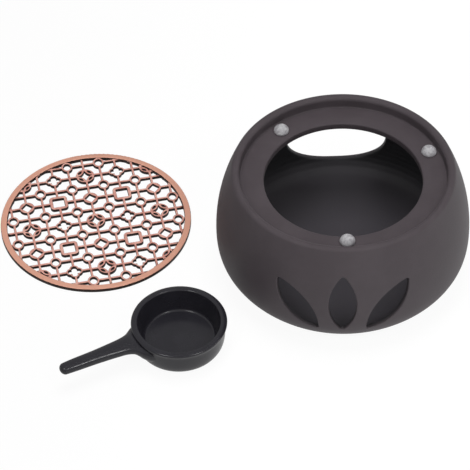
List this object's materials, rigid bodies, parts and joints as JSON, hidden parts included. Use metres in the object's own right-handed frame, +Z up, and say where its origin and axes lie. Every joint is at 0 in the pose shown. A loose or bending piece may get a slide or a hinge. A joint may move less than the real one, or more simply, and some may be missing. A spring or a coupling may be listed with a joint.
{
  "type": "teapot warmer",
  "caption": "Clay teapot warmer with leaf-shaped vents and clear rest pads, laid out with its cast lattice plate and its handled candle dish.",
  "frame": {"origin": "middle of the clay body's flat base, on the surface it stands on", "axes": "+Z up; -Y towards the three leaf-shaped vents; +Y towards the large back opening"},
  "size_m": [0.2783, 0.1912, 0.0744],
  "materials": {
    "clay": "matt, fine-grained",
    "dark_glaze": "satin",
    "copper_plate": "antique copper plating, dark in the recesses",
    "clear_pad": "clear, slightly frosted"
  },
  "bodies": {
    "root": {"warmer_body": "clay", "rest_pad_front": "clear_pad", "rest_pad_right": "clear_pad", "rest_pad_left": "clear_pad", "lattice_plate": "copper_plate", "candle_dish": "dark_glaze"}
  },
  "joints": []
}
